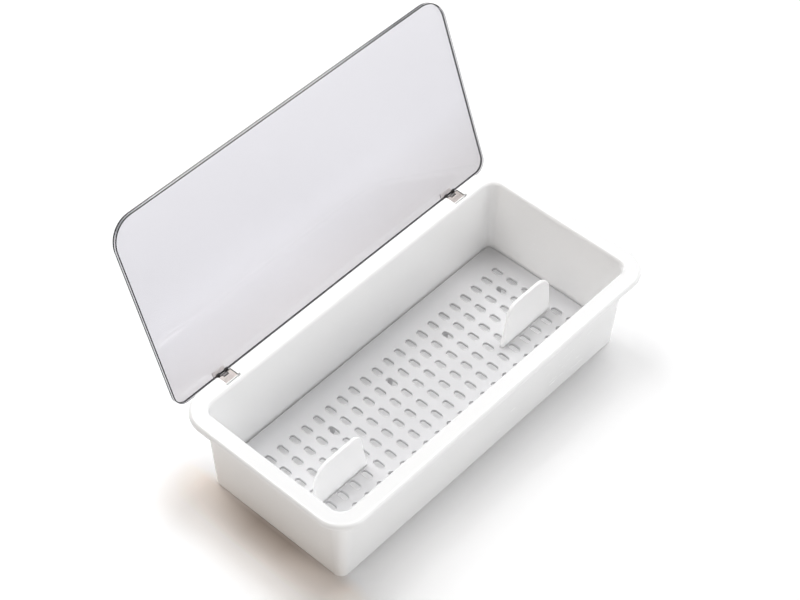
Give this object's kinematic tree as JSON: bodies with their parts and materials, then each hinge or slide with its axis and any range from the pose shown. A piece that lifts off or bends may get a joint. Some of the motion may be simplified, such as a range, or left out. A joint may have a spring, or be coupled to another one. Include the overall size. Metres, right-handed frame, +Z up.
{
  "type": "lidded cutlery box",
  "caption": "Moulded white table box with a rounded rim, a lift-out slotted drain tray with upright fins, and a clear lid sheet on rolled clip hinges.",
  "frame": {"origin": "centre of the flat underside of the tub, on the surface that the box stands on", "axes": "+X along the length, +Y towards the hinged back, +Z up out of the mouth; the lid stands open against its stop"},
  "size_m": [0.2704, 0.1754, 0.1782],
  "materials": {
    "tub": "glossy white moulded plastic",
    "drain_tray": "white moulded plastic, slightly duller than the tub",
    "lid_sheet": "clear acrylic sheet with polished edges",
    "hinge_steel": "bent stainless strip, satin with brighter bends",
    "pin_steel": "ground stainless wire"
  },
  "bodies": {
    "box": {"tub": "tub", "rim_leaf_left": "hinge_steel", "rim_leaf_right": "hinge_steel", "hinge_pin_left": "pin_steel", "hinge_pin_right": "pin_steel"},
    "lid": {"lid_sheet": "lid_sheet", "hinge_clip_left": "hinge_steel", "hinge_clip_right": "hinge_steel"},
    "tray": {"drain_tray": "drain_tray"}
  },
  "joints": [
    {"name": "lid_hinge", "type": "hinge", "parent": "box", "child": "lid", "pos_m": [0, 0.0628, 0.06495], "axis": [1, 0, 0], "range_deg": [0, 110.75]},
    {"name": "tray_lift", "type": "slide", "parent": "box", "child": "tray", "axis": [0, 0, 1], "range_m": [0, 0.02]}
  ]
}
